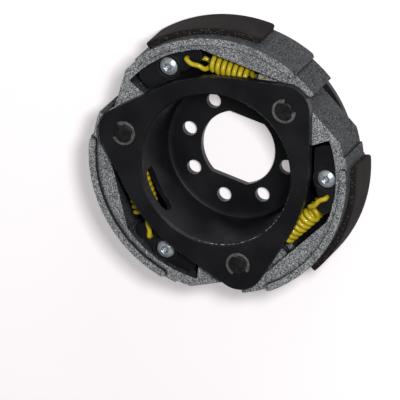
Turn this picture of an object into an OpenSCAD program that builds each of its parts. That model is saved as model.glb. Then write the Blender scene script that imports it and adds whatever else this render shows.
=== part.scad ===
// Three-shoe centrifugal clutch, lying on its back with the open cup facing up (+Z).
// The pivots stand at 90, 210 and 330 degrees. Each shoe runs clockwise from its pivot,
// seen from above, and swings outwards against its two springs.

/* [Carrier] */

// Height from the rear plate's underside to the tips of the pivot pins
pin_top_z = 45; // [40:0.5:60]
// Top face of the three-lobed flange
flange_top_z = 43.6; // [38:0.1:58]
// Thickness of the flange
flange_t = 4.8; // [3:0.1:8]
// Radius of each flange lobe round its pin
lobe_r = 15; // [12:0.5:20]
// Distance from the axis to the middle of a flange side
flange_side_r = 54; // [50:0.5:60]
// Radius of the bulged part of a flange side
flange_side_arc_r = 88; // [70:1:140]
// Radius of the cup's mouth
mouth_r = 44; // [40:0.5:50]
// Inner radius of the cup at its floor
floor_r = 42.4; // [40:0.1:43.5]
// Thickness of the cup's wall
cup_wall = 2.6; // [2:0.1:4]
// Height of the cup floor's inner face, which is also the floor's thickness
floor_t = 4; // [3:0.1:8]
// Width of a cup window, along the wall
window_w = 27; // [12:0.5:30]
// Height of the lower edge of the cup windows
window_z0 = 26; // [20:0.5:28]
// Height of the upper edge of the cup windows
window_z1 = 37.5; // [34:0.1:38]
// Corner radius of the cup windows
window_corner_r = 5.4; // [2:0.1:6]
// Angle of a window's middle from the axis, in its shoe's own frame
window_angle = 13.5; // [0:0.5:30]

/* [Hub openings] */

// Diameter of the double-D hole
hub_d = 44; // [30:0.5:50]
// Distance between the two flats of the double-D hole
hub_flats = 38.6; // [26:0.1:46]
// Number of holes round the hub
hub_bolt_count = 8; // [3:1:12]
// Diameter of the circle of the holes
hub_bolt_circle_d = 60; // [50:0.5:66]
// Diameter of each hole
hub_bolt_d = 8.4; // [5:0.1:10]

/* [Rear plate] */

// Radius of the rear plate
plate_r = 68.5; // [60:0.5:72]
// Thickness of the rear plate
plate_t = 3.5; // [2:0.1:6]
// Radius of the cup's spigot, which fills the hole of the rear plate
plate_bore_r = 39.6; // [38:0.1:44]

/* [Pivots] */

// Radius of the circle of the pivot pins
pivot_r = 56.5; // [50:0.5:62]
// Diameter of the pivot pins
pin_d = 10; // [8:0.5:12]
// Radial running clearance of a shoe on its pin
pin_clearance = 0.05; // [0.02:0.01:0.1]
// Outer diameter of the retaining clips
clip_d = 14; // [12:0.5:16]
// Thickness of the retaining clips
clip_t = 0.9; // [0.6:0.1:1.4]
// Depth of the clip groove in the pin
clip_groove = 0.7; // [0.4:0.1:1.2]
// Inner radius of the clips' ring
clip_ring_r = 5.5; // [5.2:0.1:6.2]
// Width of the clips' prongs
clip_prong_w = 2.4; // [1:0.1:4]
// Open angle of the retaining clips
clip_gap_angle = 84; // [40:1:120]

/* [Shoes] */

// Underside of the shoe's body
shoe_z0 = 8.4; // [6:0.1:12]
// Front face of the shoe's body
shoe_z1 = 38.4; // [34:0.1:50]
// Outer radius of the shoe's platform, which the lining is bonded to
platform_r = 76.2; // [70:0.1:80]
// Width of the raised rim along the platform's outer edge
rim_w = 3.9; // [2:0.1:6]
// Underside of the platform
platform_z0 = 6; // [5:0.1:10]
// Front face of the platform
platform_z1 = 41; // [36:0.1:52]
// Step from the platform down to the body on its pivot side
shoulder_step = 1.2; // [0.5:0.1:3]
// Step from the platform down to the body's free end
tip_step = 1.4; // [0.5:0.1:3]
// Angle of the platform's end near the pivot
platform_a1 = 56.5; // [50:0.5:60]
// Angle at which the raised rim ends near the pivot
rim_a1 = 50.2; // [46:0.5:56]
// Angle of the platform's end near the free end
platform_a0 = -21.5; // [-26:0.5:-16]
// Angle of the free end
tip_a = -33; // [-36:0.5:-28]
// Radius of the pivot eye
eye_r = 9.4; // [8:0.1:10]
// Wall between the pocket and the platform's outer face
pocket_wall = 6.8; // [5:0.1:9]
// Distance of the flat inner side of the shoe from the axis
inner_flat = 62.8; // [60:0.1:66]
// Top of the upper spring web inside the shoe
web_z1 = 33; // [30:0.5:33.5]
// Top of the lower spring web
web_slot_z0 = 20; // [12:0.5:20.5]
// Underside of the upper spring web
web_slot_z1 = 26.5; // [24:0.5:28]
// Travel of each shoe in degrees, from rest to its outermost position
shoe_travel = 3; // [1:0.5:4]

/* [Linings] */

// Thickness of the friction linings
lining_t = 3.6; // [2:0.1:6]
// Angle of the lining's end near the pivot
lining_a1 = 50.7; // [46:0.1:56]
// Angle of the lining's end near the free end
lining_a0 = -0.8; // [-10:0.1:10]
// Underside of the linings
lining_z0 = 6; // [5:0.5:12]
// Front edge of the linings
lining_z1 = 33; // [25:0.5:40]

/* [Anchor blocks] */

// Radius of the circle of the block screws
screw_circle_r = 62.8; // [58:0.1:66]
// Angle from a pivot to its block's screw
screw_angle = 45; // [40:0.5:50]
// Radius of the block's round boss
boss_r = 7.6; // [6.5:0.1:9]
// Distance from the axis to the outer side of the block
block_r = 68.9; // [66:0.1:70]
// Top of the boss
boss_z1 = 36.2; // [32:0.1:38]
// Top of the block's tab and spring ear
block_z1 = 34.4; // [30:0.1:37]
// Radius of the rounded spring ear
ear_r = 4.6; // [3:0.1:6]
// Thickness of each spring ear
ear_t = 5; // [3:0.5:8]
// Height of an ear's top over its spring's axis
ear_rise = 2.2; // [1:0.1:2.3]
// Diameter of the holes for the spring hooks
hook_hole_d = 3.6; // [2:0.1:5]

/* [Screws] */

// Diameter of the screw's head
screw_head_d = 10.5; // [8:0.1:12]
// Height of the screw's head
screw_head_h = 3.3; // [2:0.1:5]
// Height of the domed part of the head
screw_dome_h = 2.1; // [1:0.1:3.2]
// Diameter of the screw's thread
screw_d = 6; // [4:0.5:8]
// Width across flats of the screw's socket
screw_socket_w = 4; // [3:0.5:5]
// Depth of the screw's socket
screw_socket_h = 2; // [1:0.1:3]
// Top of the screw's head
screw_top_z = 37.1; // [34:0.1:40]

/* [Springs] */

// Outer diameter of the springs
spring_d = 10.4; // [8:0.1:12]
// Diameter of the spring wire
wire_d = 2.8; // [2:0.1:3.5]
// Number of turns
spring_turns = 8; // [5:1:14]
// Pitch of the turns at rest
spring_pitch = 3.15; // [2.8:0.05:4]
// Height of the upper spring's axis
spring_upper_z = 31.4; // [28:0.1:34]
// Height of the lower spring's axis
spring_lower_z = 18.4; // [12:0.1:22]

/* [Hidden] */

rim_r = platform_r - rim_w;
shoulder_r = platform_r - shoulder_step;
tip_r = platform_r - tip_step;
pocket_r = platform_r - pocket_wall;
lining_r = platform_r + lining_t;

$fn = 96;

clip_prong_angles = [270, 150, 30];
pitch_angle = 120;
pin_r = pin_d / 2;
flange_z0 = flange_top_z - flange_t;

// In a shoe's own frame the pivot stands at 90 degrees.
pivot = [0, pivot_r];
screw_at = screw_circle_r * [cos(screw_angle), sin(screw_angle)];
ear_at = [55.6, 32.5];
hook_at = [52.4, 36.2];
web_hook_at = [56.6, -9.6];
spring_top_at = [54.7, 23.8];

function polar(r, a) = [r * cos(a), r * sin(a)];

// Tangent line between a flange side's bulge and a lobe, with the side's middle at 0 degrees.
side_centre = [flange_side_r - flange_side_arc_r, 0];
lobe_centre = pivot_r * [cos(60), sin(60)];
tangent_dist = norm(lobe_centre - side_centre);
tangent_base = atan2(lobe_centre[1], lobe_centre[0] - side_centre[0]);
tangent_a = tangent_base - acos((flange_side_arc_r - lobe_r) / tangent_dist);
lobe_point = lobe_centre + polar(lobe_r, tangent_a);

function turned(p, a) = [p[0] * cos(a) - p[1] * sin(a), p[0] * sin(a) + p[1] * cos(a)];

module at_shoe(i) {
  rotate([0, 0, pitch_angle * (i - 1)])
    children();
}

// Pie slice between two angles, up to any radius the caller cuts it to.
module wedge(a0, a1, z0, z1, r = 130) {
  mid = (a0 + a1) / 2;
  translate([0, 0, z0])
    linear_extrude(height = z1 - z0)
      polygon([
        [0, 0],
        polar(r, a0),
        polar(r, (a0 + mid) / 2),
        polar(r, mid),
        polar(r, (a1 + mid) / 2),
        polar(r, a1)
      ]);
}

module ring_sector(r0, r1, a0, a1, z0, z1) {
  intersection() {
    difference() {
      translate([0, 0, z0])
        cylinder(r = r1, h = z1 - z0);
      translate([0, 0, z0 - 1])
        cylinder(r = r0, h = z1 - z0 + 2);
    }
    wedge(a0, a1, z0 - 1, z1 + 1);
  }
}

module prism(points, z0, z1) {
  translate([0, 0, z0])
    linear_extrude(height = z1 - z0)
      polygon(points);
}

module flange_blank() {
  union() {
    for (k = [0:2]) {
      rotate([0, 0, pitch_angle * k])
        translate([0, pivot_r, flange_z0])
          cylinder(r = lobe_r, h = flange_t);
    }
    prism([
      for (k = [0:2])
        for (p = concat(
          [[lobe_point[0], -lobe_point[1]]],
          [for (j = [-5:5]) side_centre + polar(flange_side_arc_r, tangent_a * j / 5)],
          [lobe_point]
        )) turned(p, 30 + 120 * k)
    ], flange_z0, flange_top_z);
  }
}

module cup_window() {
  rotate([0, 0, window_angle])
    for (y = [-1, 1]) {
      for (z = [window_z0 + window_corner_r, window_z1 - window_corner_r]) {
        translate([30, y * (window_w / 2 - window_corner_r), z])
          rotate([0, 90, 0])
            cylinder(r = window_corner_r, h = 25);
      }
    }
  rotate([0, 0, window_angle]) {
    translate([30, -window_w / 2, window_z0 + window_corner_r])
      cube([25, window_w, window_z1 - window_z0 - 2 * window_corner_r]);
    translate([30, -window_w / 2 + window_corner_r, window_z0])
      cube([25, window_w - 2 * window_corner_r, window_z1 - window_z0]);
  }
}

module carrier() {
  mouth_edge = 1.2;
  floor_fillet = 4;
  color("#1f1f23")
    difference() {
      union() {
        flange_blank();
        rotate([0, 0, 65])
          rotate_extrude()
            polygon([
              [0, 0],
              [plate_bore_r, 0],
              [plate_bore_r, plate_t],
              [floor_r + cup_wall + 0.4, plate_t + 0.4],
              [mouth_r + cup_wall, flange_z0 - 6],
              [mouth_r + cup_wall, flange_z0 + 1],
              [0, flange_z0 + 1]
            ]);
      }
      rotate([0, 0, 65])
        rotate_extrude()
          polygon([
            [0, floor_t],
            [floor_r - floor_fillet, floor_t],
            [floor_r - 1.2, floor_t + 1.2],
            [floor_r, floor_t + floor_fillet],
            [mouth_r, flange_z0 - 6],
            [mouth_r, flange_top_z - mouth_edge],
            [mouth_r + mouth_edge, flange_top_z],
            [mouth_r + mouth_edge, flange_top_z + 1],
            [0, flange_top_z + 1]
          ]);
      intersection() {
        translate([0, 0, -1])
          cylinder(d = hub_d, h = floor_t + 2);
        translate([-hub_flats / 2, -hub_d, -1])
          cube([hub_flats, 2 * hub_d, floor_t + 2]);
      }
      for (k = [0:hub_bolt_count - 1]) {
        rotate([0, 0, 360 / hub_bolt_count * k])
          translate([hub_bolt_circle_d / 2, 0, -1])
            cylinder(d = hub_bolt_d, h = floor_t + 2);
      }
      for (k = [0:2]) {
        rotate([0, 0, pitch_angle * k]) {
          cup_window();
          translate([0, pivot_r, flange_z0 - 1])
            cylinder(r = pin_r, h = flange_t + 2);
        }
      }
    }
}

module rear_plate() {
  color("#202022")
    difference() {
      union() {
        cylinder(r = plate_r, h = plate_t);
      }
      translate([0, 0, -1])
        cylinder(r = plate_bore_r, h = plate_t + 2);
      for (k = [0:2]) {
        rotate([0, 0, pitch_angle * k]) {
          translate([0, pivot_r, -1])
            cylinder(r = pin_r, h = plate_t + 2);
          translate([screw_at[0], screw_at[1], -1])
            cylinder(d = screw_d, h = plate_t + 2);
        }
      }
    }
}

module pivot_pin(i) {
  groove_z = flange_top_z + 0.05;
  chamfer = 0.5;
  color("#2a2a2c")
    at_shoe(i)
      translate([0, pivot_r, 0])
        rotate_extrude()
          polygon([
            [0, 0],
            [pin_r, 0],
            [pin_r, groove_z],
            [pin_r - clip_groove, groove_z],
            [pin_r - clip_groove, groove_z + clip_t + 0.05],
            [pin_r, groove_z + clip_t + 0.05],
            [pin_r, pin_top_z - 0.2],
            [pin_r - 0.2, pin_top_z],
            [0, pin_top_z]
          ]);
}

// Open ring that stands clear of the pin, with three prongs that reach into its groove.
module clip(i) {
  groove_z = flange_top_z + 0.05;
  groove_r = pin_r - clip_groove + 0.05;
  color("#5c5c5c")
    at_shoe(i)
      translate([0, pivot_r, groove_z])
        difference() {
          union() {
            difference() {
              cylinder(d = clip_d, h = clip_t);
              translate([0, 0, -1])
                cylinder(r = clip_ring_r, h = clip_t + 2);
            }
            for (a = clip_prong_angles) {
              rotate([0, 0, a])
                translate([groove_r - 1, -clip_prong_w / 2, 0])
                  cube([clip_ring_r - groove_r + 1.4, clip_prong_w, clip_t]);
            }
          }
          translate([0, 0, -1])
            cylinder(r = groove_r, h = clip_t + 2);
          rotate([0, 0, 90])
            wedge(-clip_gap_angle / 2, clip_gap_angle / 2, -1, clip_t + 1, 30);
        }
}

// Outline of the shoe's body without its outer arcs and pocket.
shoe_outline = [
  [0, pivot_r + 10.5],
  [33.5, pivot_r + 10.5],
  [60, 105],
  [130, 80],
  polar(150, tip_a),
  polar(72.2, tip_a),
  [inner_flat, -28],
  [inner_flat, 29],
  [40, 48],
  [29.2, 63.4],
  [22.6, 47],
  [16, 47.2],
  [7, 48.8],
  [4, 50],
  [0, 52]
];

module shoe_body() {
  difference() {
    union() {
      difference() {
        union() {
          intersection() {
            prism(shoe_outline, shoe_z0, shoe_z1);
            union() {
              translate([0, 0, shoe_z0])
                cylinder(r = tip_r, h = shoe_z1 - shoe_z0, $fn = 200);
              ring_sector(60, shoulder_r, platform_a1 - 2, 75, shoe_z0, shoe_z1);
            }
          }
          ring_sector(pocket_r, platform_r, platform_a0, platform_a1, shoe_z0, shoe_z1);
          ring_sector(rim_r, platform_r, platform_a0 + 1.5, rim_a1, platform_z0, platform_z1);
          for (a = [platform_a0 + 1.5, rim_a1]) {
            rotate([0, 0, a])
              translate([(rim_r + platform_r) / 2, 0, platform_z0])
                rotate([0, 0, 45])
                  cylinder(d = platform_r - rim_r - 0.4, h = platform_z1 - platform_z0, $fn = 48);
          }
        }
        // Pocket for the anchor block and the springs.
        intersection() {
          translate([0, 0, shoe_z0 - 1])
            cylinder(r = pocket_r, h = shoe_z1 - shoe_z0 + 2, $fn = 200);
          prism([
            [28.6, 62.6],
            [80, 80],
            [80, 60],
            [56.8, 39.2],
            [59, 36.2],
            [61.2, 32.4],
            [62.4, 28.6],
            [inner_flat, 25],
            [inner_flat, -6],
            [40, -6],
            [22.2, 46.8]
          ], shoe_z0 - 1, shoe_z1 + 1);
        }
      }
      // Web plates that the springs hook into, with room between them for the lower hook.
      for (z = [[shoe_z0, web_slot_z0], [web_slot_z1, web_z1]]) {
        prism([
          [inner_flat + 1, -6],
          [52.6, -6],
          [52.6, -14.4],
          [58.6, -19.6],
          [inner_flat + 1, -27]
        ], z[0], z[1]);
      }
      // Pivot eye.
      translate([0, pivot_r, shoe_z0])
        cylinder(r = eye_r, h = shoe_z1 - shoe_z0);
    }
    translate([0, pivot_r, shoe_z0 - 1])
      cylinder(r = pin_r + pin_clearance, h = shoe_z1 - shoe_z0 + 2);
    translate([web_hook_at[0], web_hook_at[1], shoe_z0 - 1])
      cylinder(d = hook_hole_d, h = shoe_z1 - shoe_z0);
  }
}

module shoe(i) {
  color("#8f9294")
    at_shoe(i)
      shoe_body();
}

module lining(i) {
  color("#2b2826")
    at_shoe(i)
      ring_sector(platform_r, lining_r, lining_a0, lining_a1, lining_z0, lining_z1);
}

module anchor_block(i) {
  color("#1c1c1f")
    at_shoe(i)
      difference() {
        intersection() {
          cylinder(r = block_r, h = 60, $fn = 200);
          union() {
            translate([screw_at[0], screw_at[1], plate_t])
              rotate([0, 0, 180])
                cylinder(r = boss_r, h = boss_z1 - plate_t);
            prism([
              [33.6, 60],
              [47, 56],
              [48, 42],
              [40, 38.4],
              [36, 42],
              [26.9, 51.3],
              [29.6, 57],
              [31.2, 59.2]
            ], plate_t, block_z1);
            for (z = [spring_upper_z, spring_lower_z]) {
              ear_z1 = z + ear_rise;
              translate([ear_at[0], ear_at[1], ear_z1 - ear_t])
                cylinder(r = ear_r, h = ear_t);
              prism([
                [50, 47],
                [58.7, 35],
                [52, 31.4],
                [45, 34.6],
                [42, 40]
              ], ear_z1 - ear_t, ear_z1);
            }
          }
        }
        translate([screw_at[0], screw_at[1], screw_top_z - screw_head_h])
          cylinder(d = screw_head_d + 0.9, h = 10);
        translate([screw_at[0], screw_at[1], 0])
          cylinder(d = screw_d + 0.4, h = 50);
        translate([hook_at[0], hook_at[1], 0])
          cylinder(d = hook_hole_d, h = 50);
      }
}

module screw(i) {
  head_r = screw_head_d / 2;
  dome_r = (head_r * head_r + screw_dome_h * screw_dome_h) / (2 * screw_dome_h);
  color("#c9ced3")
    at_shoe(i)
      translate([screw_at[0], screw_at[1], 0])
        difference() {
          union() {
            translate([0, 0, 0.4])
              cylinder(d = screw_d, h = screw_top_z - screw_head_h);
            intersection() {
              translate([0, 0, screw_top_z - dome_r])
                sphere(r = dome_r, $fn = 96);
              translate([0, 0, screw_top_z - screw_head_h])
                cylinder(r = head_r, h = screw_head_h);
            }
          }
          translate([0, 0, screw_top_z - screw_socket_h])
            cylinder(d = screw_socket_w / cos(30), h = 5, $fn = 6);
        }
}

// A close-wound spring: the turns as one turned profile, and a bent hook at each end.
module spring_body(z) {
  coil_r = (spring_d - wire_d) / 2;
  wire_r = wire_d / 2;
  translate([spring_top_at[0], spring_top_at[1], z])
    rotate([90, 0, 0]) {
      for (k = [0:spring_turns - 1]) {
        translate([0, 0, wire_r + spring_pitch * k])
          rotate_extrude()
            translate([coil_r, 0])
              circle(r = wire_r, $fn = 32);
      }
      translate([0, 0, wire_r])
        difference() {
          cylinder(r = coil_r + 0.5, h = spring_pitch * (spring_turns - 1));
          translate([0, 0, -1])
            cylinder(r = coil_r - 0.5, h = spring_pitch * (spring_turns - 1) + 2);
        }
    }
  // Upper hook, from the first turn to the block's ear, with a rounded elbow at each bend.
  elbow_d = wire_d + 0.1;
  hook_z = z + coil_r;
  turn_at = [spring_top_at[0] - 2.6, spring_top_at[1] - 0.8];
  hook_run = norm(hook_at - turn_at);
  hook_dir = atan2(turn_at[1] - hook_at[1], turn_at[0] - hook_at[0]);
  translate([hook_at[0], hook_at[1], hook_z - 5])
    cylinder(d = wire_d, h = 5);
  translate([hook_at[0], hook_at[1], hook_z])
    sphere(d = elbow_d, $fn = 32);
  translate([hook_at[0], hook_at[1], hook_z])
    rotate([0, 0, hook_dir])
      rotate([0, 90, 0])
        cylinder(d = wire_d, h = hook_run);
  // Lower hook, from the last turn to the shoe's web.
  end_at = [spring_top_at[0], spring_top_at[1] - spring_pitch * (spring_turns - 1) - wire_r - 0.6];
  end_run = norm(web_hook_at - end_at);
  end_dir = atan2(web_hook_at[1] - end_at[1], web_hook_at[0] - end_at[0]);
  translate([end_at[0], end_at[1], hook_z])
    rotate([0, 0, end_dir])
      rotate([0, 90, 0])
        cylinder(d = wire_d, h = end_run);
  translate([web_hook_at[0], web_hook_at[1], hook_z])
    sphere(d = elbow_d, $fn = 32);
  translate([web_hook_at[0], web_hook_at[1], hook_z - 5])
    cylinder(d = wire_d, h = 5);
}

module spring(i, z) {
  color("#d6bb1c")
    at_shoe(i)
      spring_body(z);
}

carrier();
rear_plate();
pivot_pin(1);  // pivot_pin_1
pivot_pin(2);  // pivot_pin_2
pivot_pin(3);  // pivot_pin_3
clip(1);  // clip_1
clip(2);  // clip_2
clip(3);  // clip_3
shoe(1);  // shoe_1
shoe(2);  // shoe_2
shoe(3);  // shoe_3
lining(1);  // lining_1
lining(2);  // lining_2
lining(3);  // lining_3
anchor_block(1);  // anchor_block_1
anchor_block(2);  // anchor_block_2
anchor_block(3);  // anchor_block_3
screw(1);  // screw_1
screw(2);  // screw_2
screw(3);  // screw_3
spring(1, spring_upper_z);  // spring_upper_1
spring(2, spring_upper_z);  // spring_upper_2
spring(3, spring_upper_z);  // spring_upper_3
spring(1, spring_lower_z);  // spring_lower_1
spring(2, spring_lower_z);  // spring_lower_2
spring(3, spring_lower_z);  // spring_lower_3
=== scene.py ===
"""A three-shoe centrifugal clutch dressed for rendering, round its fixed CAD frame."""

import math

import bmesh
import bpy
from mathutils import Matrix, Vector


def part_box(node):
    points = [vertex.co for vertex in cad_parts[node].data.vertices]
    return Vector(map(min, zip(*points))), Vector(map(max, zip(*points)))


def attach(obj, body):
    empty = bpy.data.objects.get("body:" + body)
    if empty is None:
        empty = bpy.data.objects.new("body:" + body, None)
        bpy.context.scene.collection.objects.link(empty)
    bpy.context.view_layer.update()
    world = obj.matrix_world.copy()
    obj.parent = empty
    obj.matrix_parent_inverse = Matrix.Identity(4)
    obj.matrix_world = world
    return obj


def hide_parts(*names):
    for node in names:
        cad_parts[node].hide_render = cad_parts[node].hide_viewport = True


bl_info = {
    "name": "Centrifugal Clutch Dresser",
    "version": (1, 0, 0),
    "blender": (4, 5, 0),
    "location": "View3D > Sidebar > Clutch",
    "description": "Dresses a centrifugal clutch's solids with detailed pieces and finishes",
    "category": "Object",
}

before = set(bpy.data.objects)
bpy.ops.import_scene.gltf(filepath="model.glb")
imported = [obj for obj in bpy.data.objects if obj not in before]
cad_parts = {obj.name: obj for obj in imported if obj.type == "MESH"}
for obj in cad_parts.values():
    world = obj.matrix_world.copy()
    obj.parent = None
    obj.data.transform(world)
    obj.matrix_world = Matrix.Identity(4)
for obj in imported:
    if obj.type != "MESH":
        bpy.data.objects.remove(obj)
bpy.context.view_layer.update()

MM = 0.001
SHOES = (1, 2, 3)

# Side of the picture in pixels, and the camera's sensor in millimetres
IMAGE_SIDE = 400
SENSOR_WIDTH = 36


def shoe_turn(i):
    """Turn from shoe 1's place to shoe i's, about the clutch's axis."""
    return Matrix.Rotation(math.radians(120 * (i - 1)), 4, "Z")


def polar(radius, degrees):
    """Point on the ground plane at a radius in millimetres and an angle."""
    a = math.radians(degrees)
    return Vector((radius * math.cos(a), radius * math.sin(a), 0))


PIN_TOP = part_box("pivot_pin_1")[1].z / MM
FLANGE_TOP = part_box("carrier")[1].z / MM

# Cup's mouth in millimetres, the side where its lip carries a painted glint in degrees, and where along that
# side the painted glint starts and is full, in millimetres from the axis
MOUTH_RADIUS = 44.0
GLINT_SIDE = 228.0
GLINT_FROM, GLINT_FULL = 26.0, 38.0

# Springs in shoe 1's frame, in millimetres: the holes that hold the hooks, and the coil's first turn
HOOK_HOLE = (52.4, 36.2)
WEB_HOLE = (56.6, -9.6)
COIL_START = 23.2
STEPS = 20

# Bends of the wire: below a hook's crown, from the hook to the coil, and from the coil to the web
HOOK_DROPS = (5.6, 3.0, 1.2)
LEAD_BENDS = (
    (0.2, -0.4, 0.1),
    (-0.8, -2.2, 0.3),
    (-1.4, -4.3, 0.2),
    (-1.0, -6.6, 0.1),
    (-0.8, -8.6, -0.2),
    (-1.7, -10.6, -0.8),
    (-2.3, -11.8, -1.8),
)
COIL_END_BEND = (0.6, -2.0, -0.9)
WEB_BENDS = ((-2.8, 4.6, -2.4), (-0.8, 1.6, -0.6))
WEB_CROWN_DROP = 0.6

# Meshes: how near points are one in millimetres, the angles of flat, smooth and bevelled edges in
# degrees, and how closely an edge follows the radius where it counts as a lining's corner
SAME_POINT = 0.0005
SAME_CAD_POINT = 0.002
FLAT_ANGLE = 0.5
SMOOTH_ANGLE = 35
BEVEL_ANGLE = 32
RADIAL_COSINE = 0.95

# Stage: half the floor's side in millimetres, its drop in metres, the world's light, and the softboxes:
# place from the target along back, right and up in metres, sides in metres and power in watts
FLOOR_HALF_SIDE = 6000
FLOOR_DROP = 0.0002
WORLD_LIGHT = 0.16
SOFTBOXES = (
    ("front softbox", (1.6, 0.22, 0.12), (0.28, 0.28), 20),
    ("top softbox", (0.9, 0.3, 1.1), (0.9, 0.5), 5),
)


# Shader graphs


class Signal:
    """One output of a node graph, usable in Python arithmetic. Each operation adds a Math node."""

    def __init__(self, graph, socket):
        self.graph = graph
        self.socket = socket

    def _math(self, operation, *values):
        return self.graph.node("ShaderNodeMath", {"operation": operation}, dict(enumerate(values)))

    def __add__(self, other):
        return self._math("ADD", self, other)

    def __radd__(self, other):
        return self._math("ADD", other, self)

    def __sub__(self, other):
        return self._math("SUBTRACT", self, other)

    def __rsub__(self, other):
        return self._math("SUBTRACT", other, self)

    def __mul__(self, other):
        return self._math("MULTIPLY", self, other)

    def __rmul__(self, other):
        return self._math("MULTIPLY", other, self)

    def __pow__(self, other):
        return self._math("POWER", self, other)

    def over(self, limit):
        """1 where the value is over the limit, else 0."""
        return self._math("GREATER_THAN", self, limit)


class Graph:
    """The node tree of one material."""

    def __init__(self, name):
        self.material = bpy.data.materials.new(name)
        self.material.use_nodes = True
        self.tree = self.material.node_tree
        self.tree.nodes.clear()
        self.output = self.tree.nodes.new("ShaderNodeOutputMaterial")

    def node(self, kind, settings=None, inputs=None, output=0):
        """Adds a node: its settings first, then its sockets' values or links. Returns one output."""
        made = self.tree.nodes.new(kind)
        for name, value in (settings or {}).items():
            setattr(made, name, value)
        for name, value in (inputs or {}).items():
            if isinstance(value, Signal):
                self.tree.links.new(value.socket, made.inputs[name])
            else:
                made.inputs[name].default_value = value
        return Signal(self, made.outputs[output])

    def place(self):
        """Coordinates of the surface in millimetres, in the object's own frame at rest."""
        at = self.node("ShaderNodeTexCoord", output="Object")
        return self.node("ShaderNodeVectorMath", {"operation": "SCALE"}, {"Vector": at, "Scale": 1 / MM})

    def radius(self, place):
        """Distance from the clutch's axis in millimetres."""
        flat = self.node("ShaderNodeVectorMath", {"operation": "MULTIPLY"}, {0: place, 1: (1, 1, 0)})
        return self.node("ShaderNodeVectorMath", {"operation": "LENGTH"}, {0: flat}, output="Value")

    def dot(self, first, second):
        """How far one vector lies along another."""
        vectors = {0: first, 1: second}
        return self.node("ShaderNodeVectorMath", {"operation": "DOT_PRODUCT"}, vectors, output="Value")

    def noise(self, place, per_mm, detail=2.0, rough=0.5):
        """Noise of about 0.5, with features of 1 / per_mm millimetres."""
        return self.node(
            "ShaderNodeTexNoise",
            inputs={"Vector": place, "Scale": per_mm, "Detail": detail, "Roughness": rough},
            output="Fac",
        )

    def grains(self, place, per_mm):
        """One random value for each grain of 1 / per_mm millimetres."""
        cell = self.node(
            "ShaderNodeTexVoronoi", inputs={"Vector": place, "Scale": per_mm}, output="Color"
        )
        return self.node("ShaderNodeSeparateColor", inputs={"Color": cell}, output="Red")

    def band(self, value, low, high):
        """0 below low and 1 above high, smooth between them."""
        return self.node(
            "ShaderNodeMapRange",
            {"interpolation_type": "SMOOTHSTEP"},
            {"Value": value, "From Min": low, "From Max": high},
            output="Result",
        )

    def mix(self, factor, first, second):
        """Mixed colour. Plain colours are triples."""
        colours = [c if isinstance(c, Signal) else (*c, 1) for c in (first, second)]
        return self.node(
            "ShaderNodeMix",
            {"data_type": "RGBA"},
            {0: factor, 6: colours[0], 7: colours[1]},
            output=2,
        )

    def facing_up(self):
        """How far the surface faces up the clutch's axis, from -1 to 1."""
        normal = self.node("ShaderNodeNewGeometry", output="True Normal")
        return self.node("ShaderNodeSeparateXYZ", inputs={"Vector": normal}, output="Z")

    def worn_edge(self, width):
        """1 on convex edges, 0 elsewhere."""
        round_normal = self.node(
            "ShaderNodeBevel", {"samples": 4}, {"Radius": width * MM}, output="Normal"
        )
        plain = self.node("ShaderNodeNewGeometry", output="Normal")
        return self.band(1 - self.dot(round_normal, plain), 0.02, 0.2)

    def crevice(self, reach):
        """1 deep in the piece's own corners within reach millimetres, 0 in the open."""
        openness = self.node(
            "ShaderNodeAmbientOcclusion",
            {"samples": 6, "only_local": True},
            {"Distance": reach * MM},
            output="AO",
        )
        return self.band(openness, 0.9, 0.5)

    def bump(self, height, distance):
        """Normal of a surface whose height varies by distance, in millimetres."""
        return self.node(
            "ShaderNodeBump", inputs={"Strength": 1.0, "Distance": distance * MM, "Height": height}
        )

    def surface(self, **sockets):
        """Ends the graph in a Principled shader. Underscores stand for spaces in socket names."""
        named = {name.replace("_", " "): value for name, value in sockets.items()}
        shader = self.node("ShaderNodeBsdfPrincipled", inputs=named)
        self.tree.links.new(shader.socket, self.output.inputs["Surface"])
        return self.material


def cast_aluminium(style):
    """Blasted casting with grains and pits: painted light on what faces up, painted shade on the sides, in
    the corners and in the pockets.
    """
    g = Graph("blasted aluminium")
    at = g.place()
    # Lit and shaded copies of one aluminium: the grains and pits are the casting's own, but the face colours
    # are brightened as painted light and the side colours darkened as painted shade.
    lit_face_grain, shaded_side_grain = (0.78, 0.80, 0.82), (0.19, 0.205, 0.22)
    lit_face_pit, shaded_side_pit = (0.045, 0.048, 0.051), (0.016, 0.018, 0.021)
    # stain is a real tone; the last two colours are painted shade for the corners and for the pockets on the
    # sides.
    stain, painted_corner_shade, painted_pocket_shade = (0.10, 0.105, 0.11), (0.010, 0.010, 0.010), (0.012, 0.0105, 0.009)
    grain = g.grains(at, per_mm=2.5) ** 2
    fine = g.noise(at, per_mm=2.8, detail=3.0, rough=0.65)
    broad = g.noise(at, per_mm=0.09)
    # How far the surface faces up; this splits painted light on the faces from painted shade on the sides.
    up = g.band(g.facing_up(), 0.35, 0.9)
    pit = g.band(fine, 0.46, 0.32)
    face = g.mix(grain, tuple(style.shoe_face_lit), lit_face_grain)
    face = g.mix(pit * 0.7, face, lit_face_pit)
    side = g.mix(grain * grain, tuple(style.shoe_side_shaded), shaded_side_grain)
    side = g.mix(pit * 0.6, side, shaded_side_pit)
    # Painted light and shade: the up-facing faces get the lit colour, the sides the shaded one.
    colour = g.mix(up, side, face)
    colour = g.mix(g.band(broad, 0.35, 0.75) * 0.22, colour, stain)
    # Painted shade: darkens the piece's own corners, such as the line where the face meets the rim.
    colour = g.mix(g.crevice(reach=2.6) * 0.9, colour, painted_corner_shade)
    # Painted shade: darkens the deep pockets on the shoe's sides.
    colour = g.mix(g.crevice(reach=7.0) * (1 - up) * 0.8, colour, painted_pocket_shade)
    return g.surface(
        Base_Color=colour,
        Metallic=up * 0.35,
        Roughness=0.70 - grain * 0.2,
        Specular_IOR_Level=0.15,
        Normal=g.bump(grain * 0.35 + fine, distance=0.18),
    )


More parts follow.
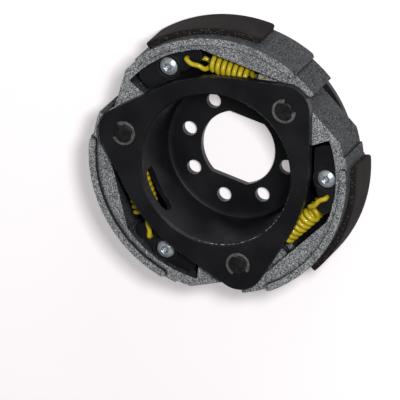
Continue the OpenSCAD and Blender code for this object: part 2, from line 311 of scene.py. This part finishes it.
def friction_compound(style):
    """Brown-black friction lining, smooth on its ground face and rough on its edges, with brass grains."""
    g = Graph("friction compound")
    at = g.place()
    worn_base = (0.024, 0.0215, 0.0205)
    binder, fibre = (0.012, 0.011, 0.011), (0.034, 0.031, 0.029)
    grey_grain, brass_grain = (0.16, 0.15, 0.14), (0.15, 0.075, 0.025)
    far_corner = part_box("lining_1")[1]
    lining_radius = max(abs(far_corner.x), abs(far_corner.y)) / MM
    ground = g.band(g.radius(at), lining_radius - 0.9, lining_radius - 0.35)
    fine = g.noise(at, per_mm=1.6, detail=3.0, rough=0.7)
    grain = g.grains(at, per_mm=1.9)
    broad = g.noise(at, per_mm=0.07, detail=3.0)
    base = g.mix(g.band(broad, 0.3, 0.7), tuple(style.lining), worn_base)
    rough_face = g.mix(g.band(fine, 0.45, 0.7), binder, fibre)
    rough_face = g.mix(grain.over(0.93) * 0.6, rough_face, grey_grain)
    rough_face = g.mix(grain.over(0.98), rough_face, brass_grain)
    return g.surface(
        Base_Color=g.mix(ground, rough_face, base),
        Roughness=0.92 - ground * 0.12,
        Specular_IOR_Level=0.08,
        Normal=g.bump(fine * (1.15 - ground) + grain * 0.15, distance=0.35),
    )


def black_paint(style):
    """Satin black coating on pressed steel, rubbed along its edges, with a painted glint on part of the
    cup's lip.
    """
    g = Graph("satin black coating")
    at = g.place()
    cloudy, speck = (0.0105, 0.0108, 0.0135), (0.030, 0.031, 0.036)
    rubbed, glint_white = (0.16, 0.16, 0.17), (0.62, 0.63, 0.65)
    orange_peel = g.noise(at, per_mm=0.9)
    specks = g.noise(at, per_mm=2.6, rough=0.6)
    cloud = g.noise(at, per_mm=0.05, detail=3.0)
    rub = g.worn_edge(width=0.45) * g.band(g.noise(at, per_mm=0.35, detail=3.0), 0.42, 0.62)
    colour = g.mix(g.band(cloud, 0.3, 0.7), tuple(style.black), cloudy)
    colour = g.mix(g.band(specks, 0.66, 0.8) * 0.5, colour, speck)
    colour = g.mix(rub * 0.6, colour, rubbed)
    height = g.node("ShaderNodeSeparateXYZ", inputs={"Vector": at}, output="Z")
    # Painted glint: a broken near-white line on the lip, only on the side where the lamps' reflection falls,
    # standing in for that reflection.
    lip = g.band(g.radius(at), MOUTH_RADIUS + 0.75, MOUTH_RADIUS + 0.45)
    lip = lip * g.band(height, FLANGE_TOP - 1.0, FLANGE_TOP - 0.6)
    glint_stretch = g.band(g.dot(at, tuple(polar(1, GLINT_SIDE))), GLINT_FROM, GLINT_FULL)
    glint_patches = g.band(g.noise(at, per_mm=0.9, detail=3.0, rough=0.7), 0.50, 0.56)
    painted_glint = lip * glint_stretch * glint_patches
    return g.surface(
        Base_Color=g.mix(painted_glint * 0.9, colour, glint_white),
        Roughness=0.34 + g.band(cloud, 0.3, 0.8) * 0.14 - rub * 0.12 - painted_glint * 0.1,
        Specular_IOR_Level=0.30,
        Normal=g.bump(orange_peel + specks * 0.4, distance=0.03),
    )


def yellow_enamel(style):
    """Glossy yellow enamel on spring wire, chipped in small spots."""
    g = Graph("yellow enamel")
    at = g.place()
    deep_yellow, chipped = (0.52, 0.40, 0.012), (0.10, 0.08, 0.03)
    fine = g.noise(at, per_mm=1.4, detail=3.0, rough=0.6)
    tone = g.noise(at, per_mm=0.25)
    chip = g.band(g.noise(at, per_mm=0.8, detail=4.0, rough=0.7), 0.68, 0.74)
    colour = g.mix(g.band(tone, 0.3, 0.7), tuple(style.yellow), deep_yellow)
    return g.surface(
        Base_Color=g.mix(chip * 0.7, colour, chipped),
        Roughness=0.30 + chip * 0.3,
        Coat_Weight=0.4,
        Normal=g.bump(fine, distance=0.05),
    )


def bright_zinc():
    """Zinc plating of the screws, faintly mottled."""
    g = Graph("bright zinc")
    at = g.place()
    dull, bright, shadow = (0.50, 0.58, 0.63), (0.74, 0.80, 0.83), (0.05, 0.06, 0.07)
    mottle = g.noise(at, per_mm=0.6, detail=3.0, rough=0.6)
    fine = g.noise(at, per_mm=4.0)
    colour = g.mix(g.band(mottle, 0.3, 0.7), dull, bright)
    return g.surface(
        Base_Color=g.mix(g.crevice(reach=1.8) * 0.9, colour, shadow),
        Metallic=0.65,
        Roughness=0.24 + g.band(mottle, 0.35, 0.8) * 0.12,
        Normal=g.bump(fine, distance=0.008),
    )


def dark_steel(name, colour, light, metal):
    """Blackened or oiled steel, faintly stained and rubbed on its edges."""
    g = Graph(name)
    at = g.place()
    rubbed = (0.22, 0.22, 0.225)
    stain = g.noise(at, per_mm=0.35, detail=4.0, rough=0.6)
    fine = g.noise(at, per_mm=3.0, detail=3.0, rough=0.6)
    shade = g.mix(g.band(stain, 0.3, 0.7), colour, light)
    return g.surface(
        Base_Color=g.mix(g.worn_edge(width=0.25) * 0.4, shade, rubbed),
        Metallic=metal,
        Roughness=0.38 + g.band(stain, 0.3, 0.8) * 0.2,
        Normal=g.bump(fine, distance=0.02),
    )


def floor_finish(style):
    """White to the camera, pale grey to the light, so that only the shadow shows."""
    g = Graph("white studio floor")
    seen = sum(
        g.node("ShaderNodeLightPath", output=f"Is {ray} Ray")
        for ray in ("Camera", "Glossy", "Transmission")
    )
    diffuse = g.node("ShaderNodeBsdfDiffuse", inputs={"Color": (*style.floor, 1)})
    lift = {"Color": (*style.floor_shade, 1), "Strength": style.floor_lift}
    white = g.node("ShaderNodeEmission", inputs=lift)
    lit = g.node("ShaderNodeAddShader", inputs={0: diffuse, 1: white})
    mixed = g.node("ShaderNodeMixShader", inputs={0: seen, 1: diffuse, 2: lit})
    g.tree.links.new(mixed.socket, g.output.inputs["Surface"])
    return g.material


# Mesh helpers


def mesh_object(name, bm, material):
    """Turns a bmesh in millimetres into an object in metres, smooth except at sharp edges."""
    bmesh.ops.remove_doubles(bm, verts=bm.verts, dist=SAME_POINT)
    bmesh.ops.recalc_face_normals(bm, faces=bm.faces)
    bmesh.ops.scale(bm, vec=(MM, MM, MM), verts=bm.verts)
    data = bpy.data.meshes.new(name)
    bm.to_mesh(data)
    bm.free()
    data.materials.append(material)
    for polygon in data.polygons:
        polygon.use_smooth = True
    data.set_sharp_from_angle(angle=math.radians(SMOOTH_ANGLE))
    made = bpy.data.objects.new(name, data)
    bpy.context.scene.collection.objects.link(made)
    return made


def round_corners(bm, width):
    """Rounds the edges that run along the radius by width millimetres."""
    corners = []
    for edge in bm.edges:
        middle = (edge.verts[0].co + edge.verts[1].co) / 2
        along = (edge.verts[0].co - edge.verts[1].co).normalized()
        if abs(along.dot(Vector((middle.x, middle.y, 0)).normalized())) > RADIAL_COSINE:
            corners.append(edge)
    bmesh.ops.bevel(
        bm, geom=corners, offset=width, offset_type="OFFSET", segments=6, profile=0.5, affect="EDGES"
    )
    return bm


def bevel(piece, width, segments):
    """Rounds the piece's edges by width millimetres."""
    modifier = piece.modifiers.new("rounded edges", "BEVEL")
    modifier.width = width * MM
    modifier.segments = segments
    modifier.limit_method = "ANGLE"
    modifier.angle_limit = math.radians(BEVEL_ANGLE)
    modifier.use_clamp_overlap = True
    shading = piece.modifiers.new("flat faces stay flat", "WEIGHTED_NORMAL")
    shading.keep_sharp = True
    shading.weight = 100
    return piece


def solid_of(node):
    """A clean copy of a CAD node's mesh in millimetres, with flat faces joined again."""
    bm = bmesh.new()
    bm.from_mesh(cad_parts[node].data)
    bmesh.ops.scale(bm, vec=(1 / MM, 1 / MM, 1 / MM), verts=bm.verts)
    bmesh.ops.remove_doubles(bm, verts=bm.verts, dist=SAME_CAD_POINT)
    bmesh.ops.dissolve_limit(
        bm,
        angle_limit=math.radians(FLAT_ANGLE),
        verts=bm.verts,
        edges=bm.edges,
        delimit={"NORMAL"},
    )
    return bm


def wire(name, points, radius, material):
    """A round wire along a smooth curve through points in millimetres, as a mesh."""
    curve = bpy.data.curves.new(name, "CURVE")
    curve.dimensions = "3D"
    curve.bevel_depth = radius * MM
    curve.bevel_resolution = 5
    curve.use_fill_caps = True
    line = curve.splines.new("NURBS")
    line.points.add(len(points) - 1)
    for point, at in zip(line.points, points):
        point.co = (*(at * MM), 1)
    line.order_u = 4
    line.use_endpoint_u = True
    line.resolution_u = 4
    holder = bpy.data.objects.new(name, curve)
    bpy.context.scene.collection.objects.link(holder)
    bpy.context.view_layer.update()
    evaluated = holder.evaluated_get(bpy.context.evaluated_depsgraph_get())
    data = bpy.data.meshes.new_from_object(evaluated)
    bpy.data.objects.remove(holder)
    data.name = name
    data.materials.clear()
    data.materials.append(material)
    for polygon in data.polygons:
        polygon.use_smooth = True
    made = bpy.data.objects.new(name, data)
    bpy.context.scene.collection.objects.link(made)
    return made


def put(piece, i, body, node):
    """Turns a piece to shoe i's place and lets it stand for its CAD node."""
    piece.data.transform(shoe_turn(i))
    piece.data.update()
    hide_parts(node)
    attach(piece, body)
    return piece


# Settings


def colour_property(name, description, default):
    """A colour that the panel shows."""
    return bpy.props.FloatVectorProperty(
        name=name,
        description=description,
        default=default,
        size=3,
        min=0.0,
        max=1.0,
        subtype="COLOR",
    )


def length_property(name, description, default):
    """A length that the panel shows. Its default is in millimetres."""
    return bpy.props.FloatProperty(
        name=name, description=description, default=default * MM, min=0.0, unit="LENGTH", precision=5
    )


class ClutchFinish(bpy.types.PropertyGroup):
    # Shoe face is a lit copy and shoe side a shaded copy of the same aluminium: painted light and painted
    # shade.
    shoe_face_lit: colour_property(
        "Shoe face", "Blasted aluminium of the shoes' front faces", (0.070, 0.073, 0.077)
    )
    shoe_side_shaded: colour_property("Shoe side", "Aluminium of the shoes' sides", (0.010, 0.012, 0.0145))
    lining: colour_property("Lining", "Friction compound", (0.013, 0.0118, 0.0115))
    black: colour_property("Black coating", "Coating of carrier, plate and blocks", (0.0052, 0.0055, 0.0075))
    yellow: colour_property("Spring enamel", "Enamel of the return springs", (0.64, 0.50, 0.020))
    floor: colour_property("Floor", "Studio floor", (0.86, 0.84, 0.845))
    floor_shade: colour_property("Floor shade", "Tint of the floor's shadows", (1.0, 0.93, 0.96))
    floor_lift: bpy.props.FloatProperty(
        name="Floor lift", description="Extra white of the floor to the camera", default=0.39, min=0.0
    )


class ClutchSizes(bpy.types.PropertyGroup):
    edge: length_property("Coated edge", "Rounding of the coated steel edges", 0.45)
    cast_edge: length_property("Cast edge", "Rounding of the shoes' edges", 0.7)
    lining_edge: length_property("Lining edge", "Rounding of the linings' edges", 0.8)
    lining_corner: length_property("Lining corner", "Rounding of the linings' four corners", 3.0)
    wire_diameter: length_property("Wire", "Diameter of the spring wire", 2.8)
    pitch: length_property("Pitch", "Distance between two turns of a spring", 3.35)
    turns: bpy.props.IntProperty(name="Turns", description="Turns of each spring", default=7, min=2)


def style():
    """The finish that the panel sets."""
    return bpy.context.scene.clutch_finish


def sizes():
    """The sizes that the panel sets."""
    return bpy.context.scene.clutch_sizes


# Pieces


class CLUTCH_OT_carrier(bpy.types.Operator):
    """Cup carrier and rear plate in satin black"""

    bl_idname = "clutch.carrier"
    bl_label = "Carrier and plate"

    def execute(self, context):
        black = black_paint(style())
        for node, slot in (("carrier", "carrier"), ("rear_plate", "plate")):
            piece = mesh_object(f"{node}_coated", solid_of(node), black)
            bevel(piece, sizes().edge / MM, 2)
            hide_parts(node)
            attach(piece, "base")
        return {"FINISHED"}


class CLUTCH_OT_shoes(bpy.types.Operator):
    """Cast shoes with rounded edges"""

    bl_idname = "clutch.shoes"
    bl_label = "Shoes"

    def execute(self, context):
        metal = cast_aluminium(style())
        for i in SHOES:
            piece = mesh_object(f"shoe_{i}_cast", solid_of(f"shoe_{i}"), metal)
            bevel(piece, sizes().cast_edge / MM, 3)
            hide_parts(f"shoe_{i}")
            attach(piece, f"shoe_{i}_body")
        return {"FINISHED"}


class CLUTCH_OT_linings(bpy.types.Operator):
    """Friction linings with rounded corners"""

    bl_idname = "clutch.linings"
    bl_label = "Linings"

    def execute(self, context):
        compound = friction_compound(style())
        for i in SHOES:
            pad = round_corners(solid_of(f"lining_{i}"), sizes().lining_corner / MM)
            piece = mesh_object(f"lining_{i}_pad", pad, compound)
            bevel(piece, sizes().lining_edge / MM, 4)
            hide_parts(f"lining_{i}")
            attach(piece, f"shoe_{i}_body")
        return {"FINISHED"}


def spring_line(place):
    """Centre line of a spring: hook, turns and hook, in millimetres in shoe 1's frame."""
    low, high = (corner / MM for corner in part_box(f"spring_{place}_1"))
    half_wire = sizes().wire_diameter / 2 / MM
    pitch = sizes().pitch / MM
    coil = (high.x - low.x) / 2 - half_wire
    axis_x = (low.x + high.x) / 2
    axis_z = high.z - coil - half_wire
    crown = axis_z + coil
    hook = Vector((*HOOK_HOLE, crown))
    points = [hook - Vector((0, 0, drop)) for drop in HOOK_DROPS]
    points += [hook + Vector(bend) for bend in LEAD_BENDS]
    for k in range(sizes().turns * STEPS + 1):
        a = math.pi + 2 * math.pi * k / STEPS
        y = COIL_START - pitch * k / STEPS
        points.append(Vector((axis_x + coil * math.cos(a), y, axis_z + coil * math.sin(a))))
    end = Vector((*WEB_HOLE, crown - WEB_CROWN_DROP))
    points.append(points[-1] + Vector(COIL_END_BEND))
    points += [end + Vector(bend) for bend in WEB_BENDS]
    points += [end - Vector((0, 0, drop)) for drop in reversed(HOOK_DROPS)]
    return points


class CLUTCH_OT_springs(bpy.types.Operator):
    """Wound return springs in yellow enamel, two at each shoe"""

    bl_idname = "clutch.springs"
    bl_label = "Return springs"

    def execute(self, context):
        enamel = yellow_enamel(style())
        for i in SHOES:
            for place in ("upper", "lower"):
                half_wire = sizes().wire_diameter / 2 / MM
                piece = wire(f"spring_{place}_{i}_wound", spring_line(place), half_wire, enamel)
                put(piece, i, "base", f"spring_{place}_{i}")
        return {"FINISHED"}


class CLUTCH_OT_fasteners(bpy.types.Operator):
    """Blocks, screws, pins and clips"""

    bl_idname = "clutch.fasteners"
    bl_label = "Blocks, screws, pins and clips"

    def execute(self, context):
        black = black_paint(style())
        zinc = bright_zinc()
        pin_steel = dark_steel("blackened steel", (0.012, 0.012, 0.013), (0.03, 0.03, 0.032), 0.6)
        clip_steel = dark_steel("clip steel", (0.11, 0.11, 0.108), (0.21, 0.205, 0.20), 0.6)
        # Each row: kind of piece, its material and slot, and its edges' rounding in millimetres
        finishes = (
            ("anchor_block", black, "block", 0.5),
            ("screw", zinc, "screw", 0.2),
            ("pivot_pin", pin_steel, "pin", 0.25),
            ("clip", clip_steel, "clip", 0.2),
        )
        for i in SHOES:
            for kind, material, slot, edge in finishes:
                piece = mesh_object(f"{kind}_{i}_finished", solid_of(f"{kind}_{i}"), material)
                bevel(piece, edge, 2)
                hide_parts(f"{kind}_{i}")
                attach(piece, "base")
        return {"FINISHED"}


# Stage


class ClutchStage(bpy.types.PropertyGroup):
    azimuth: bpy.props.FloatProperty(
        name="Azimuth",
        description="Camera's direction round the axis",
        default=math.radians(-26.9621),
        subtype="ANGLE",
    )
    elevation: bpy.props.FloatProperty(
        name="Elevation",
        description="Camera's height over the floor",
        default=math.radians(63.0086),
        subtype="ANGLE",
    )
    roll: bpy.props.FloatProperty(
        name="Roll", description="Camera's roll", default=math.radians(226.3012), subtype="ANGLE"
    )
    distance: length_property("Distance", "Camera to the middle of the pins' tips", 5000)
    scale: bpy.props.FloatProperty(
        name="Scale", description="Pixels per millimetre at that distance", default=1.7885, min=0.1
    )
    centre_x: bpy.props.FloatProperty(name="Centre x", description="Pixel of the axis", default=214.2753)
    centre_y: bpy.props.FloatProperty(name="Centre y", description="Pixel of the axis", default=170.4948)


def area_light(name, at, target, size, power):
    """A rectangular softbox that faces its target. Places are in metres."""
    data = bpy.data.lights.new(name, "AREA")
    data.shape = "RECTANGLE"
    data.size, data.size_y = size
    data.energy = power
    lamp = bpy.data.objects.new(name, data)
    bpy.context.scene.collection.objects.link(lamp)
    lamp.location = at
    lamp.rotation_mode = "QUATERNION"
    lamp.rotation_quaternion = (Vector(target) - Vector(at)).to_track_quat("-Z", "Y")
    return lamp


class CLUTCH_OT_stage(bpy.types.Operator):
    """White floor, softboxes and the camera"""

    bl_idname = "clutch.stage"
    bl_label = "Stage"

    def execute(self, context):
        stage = context.scene.clutch_stage
        bm = bmesh.new()
        bmesh.ops.create_grid(bm, x_segments=4, y_segments=4, size=FLOOR_HALF_SIDE)
        floor = mesh_object("studio_floor", bm, floor_finish(style()))
        floor.location.z = -FLOOR_DROP
        world = bpy.data.worlds.new("pale studio")
        context.scene.world = world
        world.use_nodes = True
        background = world.node_tree.nodes["Background"]
        background.inputs["Color"].default_value = (1, 1, 1, 1)
        background.inputs["Strength"].default_value = WORLD_LIGHT
        right, up, back = self.axes(stage)
        target = Vector((0, 0, PIN_TOP * MM))
        for name, (forward, sideways, upward), size, power in SOFTBOXES:
            at = target + back * forward + right * sideways + up * upward
            area_light(name, at, target, size, power)
        self.camera(context.scene, stage, target, right, up, back)
        context.scene.view_settings.view_transform = "Standard"
        return {"FINISHED"}

    @staticmethod
    def axes(stage):
        """The camera's own directions: right, up and back."""
        az, el, roll = stage.azimuth, stage.elevation, stage.roll
        back = Vector((math.cos(el) * math.cos(az), math.cos(el) * math.sin(az), math.sin(el)))
        level = Vector((-math.sin(az), math.cos(az), 0))
        upright = back.cross(level)
        right = level * math.cos(roll) + upright * math.sin(roll)
        up = upright * math.cos(roll) - level * math.sin(roll)
        return right, up, back

    @staticmethod
    def camera(scene, stage, target, right, up, back):
        """A long lens, shifted so that the clutch stands where the picture has it."""
        data = bpy.data.cameras.new("camera")
        data.sensor_width = SENSOR_WIDTH
        width = IMAGE_SIDE / (stage.scale / MM)
        data.lens = data.sensor_width * stage.distance / width
        data.shift_x = (IMAGE_SIDE / 2 - stage.centre_x) / IMAGE_SIDE
        data.shift_y = (stage.centre_y - IMAGE_SIDE / 2) / IMAGE_SIDE
        data.clip_end = 100
        camera = bpy.data.objects.new("camera", data)
        scene.collection.objects.link(camera)
        turn = Matrix((right, up, back)).transposed().to_4x4()
        camera.matrix_world = Matrix.Translation(target + back * stage.distance) @ turn
        scene.camera = camera


class CLUTCH_PT_panel(bpy.types.Panel):
    """Clutch pieces and finishes"""

    bl_idname = "CLUTCH_PT_panel"
    bl_label = "Centrifugal clutch"
    bl_space_type = "VIEW_3D"
    bl_region_type = "UI"
    bl_category = "Clutch"

    def draw(self, context):
        layout = self.layout
        for group in (context.scene.clutch_finish, context.scene.clutch_sizes, context.scene.clutch_stage):
            box = layout.box()
            for name in group.__annotations__:
                box.prop(group, name)
        for operator in PIECES:
            layout.operator(operator.bl_idname)


PIECES = (
    CLUTCH_OT_carrier,
    CLUTCH_OT_shoes,
    CLUTCH_OT_linings,
    CLUTCH_OT_springs,
    CLUTCH_OT_fasteners,
    CLUTCH_OT_stage,
)
GROUPS = {"clutch_finish": ClutchFinish, "clutch_sizes": ClutchSizes, "clutch_stage": ClutchStage}


def register():
    for cls in (*GROUPS.values(), *PIECES, CLUTCH_PT_panel):
        bpy.utils.register_class(cls)
    for name, group in GROUPS.items():
        setattr(bpy.types.Scene, name, bpy.props.PointerProperty(type=group))


def unregister():
    for name in GROUPS:
        delattr(bpy.types.Scene, name)
    for cls in (CLUTCH_PT_panel, *reversed(PIECES), *GROUPS.values()):
        bpy.utils.unregister_class(cls)


def main():
    register()
    bpy.ops.clutch.carrier()
    bpy.ops.clutch.shoes()
    bpy.ops.clutch.linings()
    bpy.ops.clutch.springs()
    bpy.ops.clutch.fasteners()
    bpy.ops.clutch.stage()


if __name__ == "__main__":
    main()
